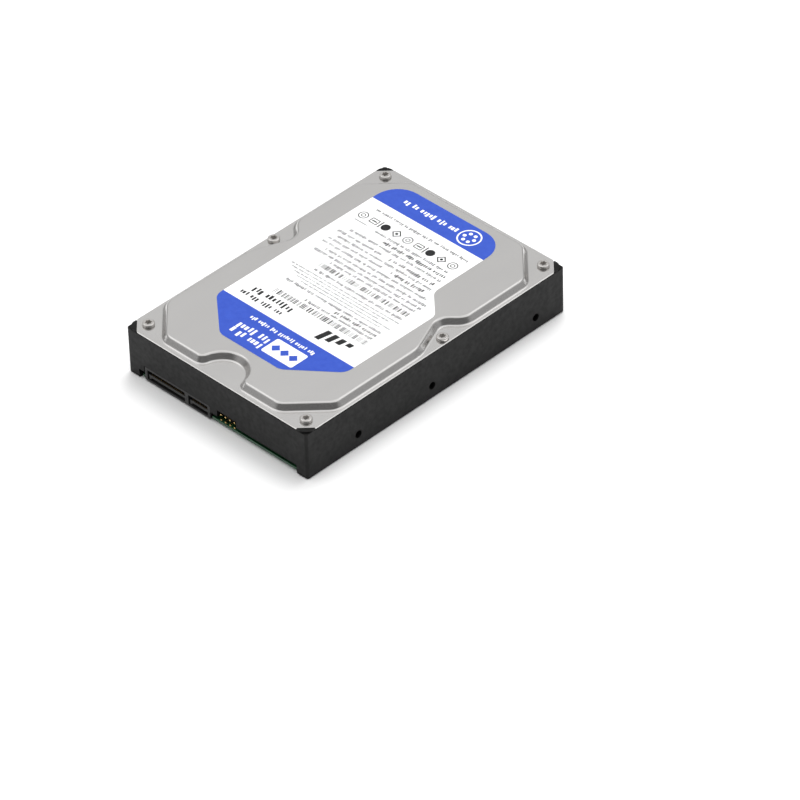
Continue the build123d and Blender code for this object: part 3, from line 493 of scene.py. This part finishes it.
def mould_black():
    """Black moulded plastic."""
    return plain("mould_black", (0.014, 0.014, 0.014), (0.024, 0.024, 0.024), (0.42, 0.58),
                 patch=2.0, grain=0.2, depth=0.008)


def ramp_white():
    """Waxy white plastic."""
    return plain("ramp_white", (0.74, 0.72, 0.66), (0.80, 0.78, 0.72), (0.32, 0.42),
                 Subsurface_Weight=0.08, Subsurface_Scale=0.0006)


def stop_amber():
    """Amber rubber."""
    return plain("stop_amber", (0.30, 0.13, 0.02), (0.42, 0.20, 0.04), (0.35, 0.5),
                 Subsurface_Weight=0.15, Subsurface_Scale=0.0008)


def machined_aluminium():
    """Aluminium with fine rings round the spindle."""
    return lathe("machined_aluminium", SPINDLE, (0.72, 0.72, 0.73), (0.80, 0.80, 0.81), (0.22, 0.34))


def bearing_steel():
    """Ground steel; its fine rings are centred on the pivot."""
    return lathe("bearing_steel", PIVOT, (0.56, 0.56, 0.57), (0.64, 0.64, 0.65), (0.12, 0.20))


def spring_steel():
    """Thin rolled steel, its grain along x."""
    return brushed("spring_steel", (0.58, 0.58, 0.59), (0.66, 0.66, 0.67), (0.20, 0.30), (0.2, 1, 1))


def comb_aluminium():
    """The arm block's own metal, its grain along y."""
    return brushed("comb_aluminium", (0.70, 0.70, 0.71), (0.78, 0.78, 0.79), (0.26, 0.38), (1, 0.2, 1))


def ink(name, dark, light):
    """Printed ink: like the paper, with less gloss and no coat."""
    return label_paper(name, dark, light, INK_GLOSS, 0.0)


def track_green():
    """Solder mask where copper lies under it."""
    return plain("track_green", (0.014, 0.130, 0.045), (0.018, 0.160, 0.055), (0.22, 0.32),
                 patch=5.0, grain=0.3, depth=0.001, Coat_Weight=0.35)


def floor_white():
    """Plain pale floor."""
    return plain("floor", (0.92, 0.92, 0.92), (0.93, 0.93, 0.93), (0.6, 0.7),
                 patch=60.0, grain=4.0, depth=0.01)


MATERIALS = {
    "casting_black": casting_black(),
    "cover_grey": cover_grey(),
    "gasket_rubber": gasket_rubber(),
    "screw_steel": screw_steel(),
    "label_paper": label_paper(),
    "board_green": board_green(),
    "chip_black": chip_black(),
    "component_tan": component_tan(),
    "foam_grey": foam_grey(),
    "connector_black": connector_black(),
    "contact_gold": contact_gold(),
    "circuit_amber": circuit_amber(),
    "filter_white": filter_white(),
    "machined_aluminium": machined_aluminium(),
    "bearing_steel": bearing_steel(),
    "lamination_steel": lamination_steel(),
    "copper_wire": copper_wire(),
    "magnet_nickel": magnet_nickel(),
    "magnet_grey": magnet_grey(),
    "platter_mirror": platter_mirror(),
    "yoke_plated": yoke_plated(),
    "spring_steel": spring_steel(),
    "slider_dark": slider_dark(),
    "mould_black": mould_black(),
    "stop_amber": stop_amber(),
    "ramp_white": ramp_white(),
}
COMB_METAL = comb_aluminium()
INK_BLUE = ink("ink_blue", (0.030, 0.075, 0.44), (0.036, 0.088, 0.48))
INK_BLACK = ink("ink_black", (0.010, 0.010, 0.011), (0.018, 0.018, 0.019))
INK_GREY = ink("ink_grey", (0.11, 0.11, 0.115), (0.15, 0.15, 0.155))
TRACK_GREEN = track_green()


def dress_cad_nodes():
    """Each CAD node takes the material of its slot in the record, but the arm block has its own."""
    for part in frame["record"]["subparts"]:
        data = frame["nodes"][part["node"]].data
        data.materials.clear()
        data.materials.append(MATERIALS[part["material_slot"]].material)
    comb = frame["nodes"]["arm_block"].data
    comb.materials[0] = COMB_METAL.material


# ---- label art: generic marks only, no lettering ----
def greeked(x0, x1, y, height, rng):
    """A line of small blocks between two ends, in groups like words; it spells nothing."""
    marks = []
    step = BLOCK_PITCH * height
    x = x1
    while x > x0 + 2 * BLOCK_PITCH:
        for _ in range(rng.randint(2, 8)):
            if x - step < x0:
                break
            rise = rng.choice((0.0, 0.0, 0.28)) * height
            drop = rng.choice((0.0, 0.0, 0.0, 0.22)) * height
            width = rng.uniform(0.45, 0.78) * BLOCK_PITCH * height
            marks.append(bar(x - width, x, y - 0.36 * height - rise, y + 0.36 * height + drop))
            x -= step
        x -= 0.9 * BLOCK_PITCH * height
    return marks


def barcode(x0, x1, y0, y1, rng):
    """Bars of random width and spacing; they encode nothing."""
    marks = []
    x = x0
    while x < x1:
        width = rng.choice((0.25, 0.25, 0.5, 0.75))
        marks.append(bar(x, min(x + width, x1), y0, y1))
        x += width + rng.choice((0.3, 0.3, 0.55, 0.9))
    return marks


def ring_mark(x, y, radius, stroke):
    return (circle(x, y, radius), circle(x, y, radius - stroke))


def frame_mark(x0, x1, y0, y1, stroke):
    return (bar(x0, x1, y0, y1, 0.5), bar(x0 + stroke, x1 - stroke, y0 + stroke, y1 - stroke, 0.2))


def diamond_mark(x, y, size, stroke):
    outer = [(x - size, y), (x, y - size), (x + size, y), (x, y + size)]
    inner = [(x + (px - x) * (1 - stroke), y + (py - y) * (1 - stroke)) for px, py in outer]
    return (outer, inner)


def symbol_row(y, x0, x1, count):
    """A row of plain shapes where approval marks would be."""
    marks = []
    for i in range(count):
        x = x0 + (x1 - x0) * i / (count - 1)
        kind = i % 4
        if kind == 0:
            marks += [ring_mark(x, y, 2.3, SYMBOL_STROKE), ring_mark(x, y, 1.1, 0.4)]
        elif kind == 1:
            marks.append(frame_mark(x - 2.2, x + 2.2, y - 1.7, y + 1.7, SYMBOL_STROKE))
            marks.append(bar(x - 1.3, x + 1.3, y - 0.35, y + 0.35))
        elif kind == 2:
            marks += [circle(x, y, 2.1), bar(x - 3.2, x - 2.6, y - 2.2, y + 2.2)]
        else:
            marks += [diamond_mark(x, y, 2.5, 0.3), circle(x, y, 0.7)]
    return marks


def rising_bars(x0, y0, count, width, gap, height):
    """Slanted bars, each taller than the last; they grow towards -x, the label's own right."""
    marks = []
    for i in range(count):
        x = x0 - i * (width + gap)
        top = height * (i + 1.6) / (count + 0.6)
        lean = 0.2 * top
        marks.append([(x, y0), (x - width, y0), (x - width - lean, y0 - top), (x - lean, y0 - top)])
    return marks


def dotted_ring(x, y, radius):
    """Emblem: a ring round six dots."""
    marks = [ring_mark(x, y, radius, 0.12 * radius)]
    for i in range(6):
        turn = math.radians(60 * i)
        dot_x = x + 0.5 * radius * math.cos(turn)
        dot_y = y + 0.5 * radius * math.sin(turn)
        marks.append(circle(dot_x, dot_y, 0.16 * radius, 16))
    return marks


def black_print():
    """Two barcodes, an emblem of bars, the row of symbols and the larger print."""
    rng = random.Random(4)
    marks = barcode(-21.0, 30.5, -21.0, -17.8, rng)
    marks += barcode(-19.5, 30.0, 3.4, 6.2, rng)
    marks += rising_bars(28.2, -23.6, 4, 2.7, 1.3, 7.0)
    marks += symbol_row(40.2, -30.0, 20.5, 9)
    marks += greeked(-31.5, -6.5, -24.4, 3.0, rng)
    marks += greeked(-31.5, -8.0, -28.8, 2.4, rng)
    for y, x0, x1 in BLACK_ROWS:
        marks += greeked(x0, x1, y, BLACK_ROW_HEIGHT, rng)
    return marks


def grey_print():
    """A dash, the rows of small print and five rows of the finest."""
    rng = random.Random(9)
    marks = [bar(-31.0, -24.0, 35.8, 36.2)]
    for y, x0, x1 in GREY_ROWS:
        marks += greeked(x0, x1, y, GREY_ROW_HEIGHT, rng)
    for i in range(5):
        marks += greeked(-31.0 + 3 * i, 31.0 - 4 * (i % 3), -1.6 - 1.7 * i, FINE_ROW_HEIGHT, rng)
    return marks


def white_marks():
    """Marks on the blue bands: an emblem, four lines of blocks and the badge's plate."""
    rng = random.Random(21)
    marks = dotted_ring(12.5, 58.2, 5.3)
    marks += greeked(-25.0, 5.5, 58.2, 2.6, rng)
    marks.append(bar(2.5, 19.7, -50.7, -40.8, 1.0))
    marks += greeked(-17.0, 1.0, -44.7, 3.2, rng)
    marks += greeked(-17.0, 1.0, -48.9, 3.2, rng)
    marks += greeked(-16.5, 20.0, -38.2, 1.9, rng)
    return marks


def badge_marks():
    """Three solid diamonds on the badge."""
    return [diamond_mark(x, -45.75, 2.3, 0.3)[0] for x in (6.2, 11.1, 16.0)]


def make_label():
    """The printed label: a paper sheet under thin layers of ink."""
    outline = rounded(LABEL_CORNERS)
    paper = MATERIALS["label_paper"]
    sheet = piece("label_sheet", [outline], LABEL_LOW.z, SHEET_TOP, "cover", paper)
    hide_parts("drive_label")
    bands = [clipped(outline, FRONT_BAND_Y, -1), clipped(outline, REAR_BAND_Y, 1)]
    layers = [                    # name, shapes, lower and upper level, ink
        ("label_blue_bands", bands, 0, 1, INK_BLUE),
        ("label_black_print", black_print(), 0, 1, INK_BLACK),
        ("label_grey_print", grey_print(), 0, 2, INK_GREY),
        ("label_white_marks", white_marks(), 2, 3, paper),
        ("label_badge_marks", badge_marks(), 3, 4, INK_BLUE),
    ]
    for name, shapes, lower, upper, colour in layers:
        low = SHEET_TOP + lower * INK
        piece(name, shapes, low, SHEET_TOP + upper * INK, "cover", colour)


# ---- underside of the board ----
def shifted(path, shift):
    """A path moved sideways by a distance, with mitred bends."""
    points = [Vector(point) for point in path]
    ways = [(b - a).normalized() for a, b in zip(points, points[1:])]
    moved = []
    for i, point in enumerate(points):
        before = ways[max(i - 1, 0)]
        after = ways[min(i, len(ways) - 1)]
        side = Vector((-before.y - after.y, before.x + after.x)).normalized()
        moved.append(point + side * (shift / math.cos(before.angle(after) / 2)))
    return [tuple(point) for point in moved]


def track(path, shift, width):
    """The outline of a track that runs beside a path."""
    return shifted(path, shift - width / 2) + shifted(path, shift + width / 2)[::-1]


def make_tracks():
    """Raised copper buses under the solder mask, with plated holes and test pads."""
    tracks = []
    pads = []
    for path, count, width, pitch in BUSES:
        for i in range(count):
            shift = (i - (count - 1) / 2) * pitch
            tracks.append(track(path, shift, width))
            centre_line = shifted(path, shift)
            for x, y in (centre_line[0], centre_line[-1]):
                radius = min(VIA_R, VIA_SHARE * pitch)
                pads.append((circle(x, y, radius, 16), circle(x, y, VIA_HOLE_R, 16)))
    for x, y, count in PAD_ROWS:
        pads += [circle(x + i * PAD_PITCH, y, PAD_R, 20) for i in range(count)]
    low = BOARD_FACE - TRACK_T
    piece("board_tracks", tracks, low, BOARD_FACE, "base", TRACK_GREEN)
    piece("board_pads", pads, low - TRACK_T, BOARD_FACE, "base", MATERIALS["contact_gold"])


# ---- stage, light and camera ----
def make_floor():
    """A plain square under the drive."""
    mesh = bmesh.new()
    signs = ((-1, -1), (1, -1), (1, 1), (-1, 1))
    corners = [mesh.verts.new((x * FLOOR_HALF, y * FLOOR_HALF, 0)) for x, y in signs]
    mesh.faces.new(corners)
    floor = linked("floor", mesh, floor_white())


def make_sky():
    """Brightest about 50 degrees up, dimmer overhead and low down, darker on one fixed side.

    The camera sees a plain white backdrop in its place.
    """
    world = bpy.data.worlds.new("studio")
    bpy.context.scene.world = world
    world.use_nodes = True
    tree = world.node_tree
    sky = tree.nodes["Background"]
    place = tree.nodes.new("ShaderNodeTexCoord").outputs["Generated"]
    split = tree.nodes.new("ShaderNodeSeparateXYZ")
    tree.links.new(place, split.inputs[0])
    ramp = tree.nodes.new("ShaderNodeValToRGB")
    for position, grey in SKY_STOPS:
        stop = ramp.color_ramp.elements.new(position)
        stop.color = (grey, grey, grey, 1)
    ramp.color_ramp.elements.remove(ramp.color_ramp.elements[0])
    ramp.color_ramp.elements.remove(ramp.color_ramp.elements[-1])
    tree.links.new(split.outputs["Z"], ramp.inputs["Fac"])
    tree.links.new(ramp.outputs["Color"], sky.inputs["Color"])
    towards = tree.nodes.new("ShaderNodeVectorMath")
    towards.operation = "DOT_PRODUCT"
    towards.inputs[1].default_value = (math.sin(SKY_DARK_SIDE), -math.cos(SKY_DARK_SIDE), 0)
    tree.links.new(place, towards.inputs[0])
    shade = tree.nodes.new("ShaderNodeMapRange")
    shade.interpolation_type = "SMOOTHSTEP"
    for socket, number in zip(("From Min", "From Max", "To Min", "To Max"), SKY_SHADE):
        shade.inputs[socket].default_value = number
    tree.links.new(towards.outputs["Value"], shade.inputs["Value"])
    tree.links.new(shade.outputs["Result"], sky.inputs["Strength"])
    backdrop = tree.nodes.new("ShaderNodeBackground")
    backdrop.inputs["Color"].default_value = (1, 1, 1, 1)
    seen = tree.nodes.new("ShaderNodeLightPath").outputs["Is Camera Ray"]
    mix = tree.nodes.new("ShaderNodeMixShader")
    tree.links.new(seen, mix.inputs["Fac"])
    tree.links.new(sky.outputs["Background"], mix.inputs[1])
    tree.links.new(backdrop.outputs["Background"], mix.inputs[2])
    tree.links.new(mix.outputs["Shader"], tree.nodes["World Output"].inputs["Surface"])


def direction(azimuth, elevation):
    """The unit vector towards a place round the drive; azimuth 0 is in front of it."""
    return Vector((
        math.sin(azimuth) * math.cos(elevation),
        -math.cos(azimuth) * math.cos(elevation),
        math.sin(elevation),
    ))


def make_light(name, azimuth, elevation, distance, size, power):
    """A square soft box aimed at the drive; metal reflects the sky instead of it."""
    light = bpy.data.lights.new(name, "AREA")
    light.size = size
    light.energy = power
    made = bpy.data.objects.new(name, light)
    back = direction(math.radians(azimuth), math.radians(elevation))
    made.location = back * distance
    made.rotation_euler = back.to_track_quat("Z", "Y").to_euler()
    made.visible_glossy = False
    bpy.context.scene.collection.objects.link(made)


def make_camera():
    """The photograph's view of the drive."""
    azimuth, elevation, roll = (math.radians(angle) for angle in (VIEW_AZIMUTH, VIEW_ELEVATION, VIEW_ROLL))
    back = direction(azimuth, elevation)
    right = Vector((math.cos(azimuth), math.sin(azimuth), 0))
    up = back.cross(right)
    across = right * math.cos(roll) + up * math.sin(roll)
    upward = up * math.cos(roll) - right * math.sin(roll)
    camera = bpy.data.objects.new("camera", bpy.data.cameras.new("camera"))
    camera.data.lens = LENS
    camera.data.clip_end = FAR_CLIP
    target = Vector((0, 0, VIEW_HEIGHT)) + across * VIEW_PAN[0] + upward * VIEW_PAN[1]
    camera.location = target + back * VIEW_DISTANCE
    camera.rotation_euler = Matrix((across, upward, back)).transposed().to_euler()
    bpy.context.scene.collection.objects.link(camera)
    bpy.context.scene.camera = camera


dress_cad_nodes()
make_label()
make_tracks()
make_floor()
make_sky()
make_light("key", azimuth=200, elevation=66, distance=1.6, size=0.9, power=13)
make_light("fill", azimuth=20, elevation=78, distance=1.8, size=1.0, power=9)
make_camera()
bpy.context.scene.view_settings.view_transform = "Standard"
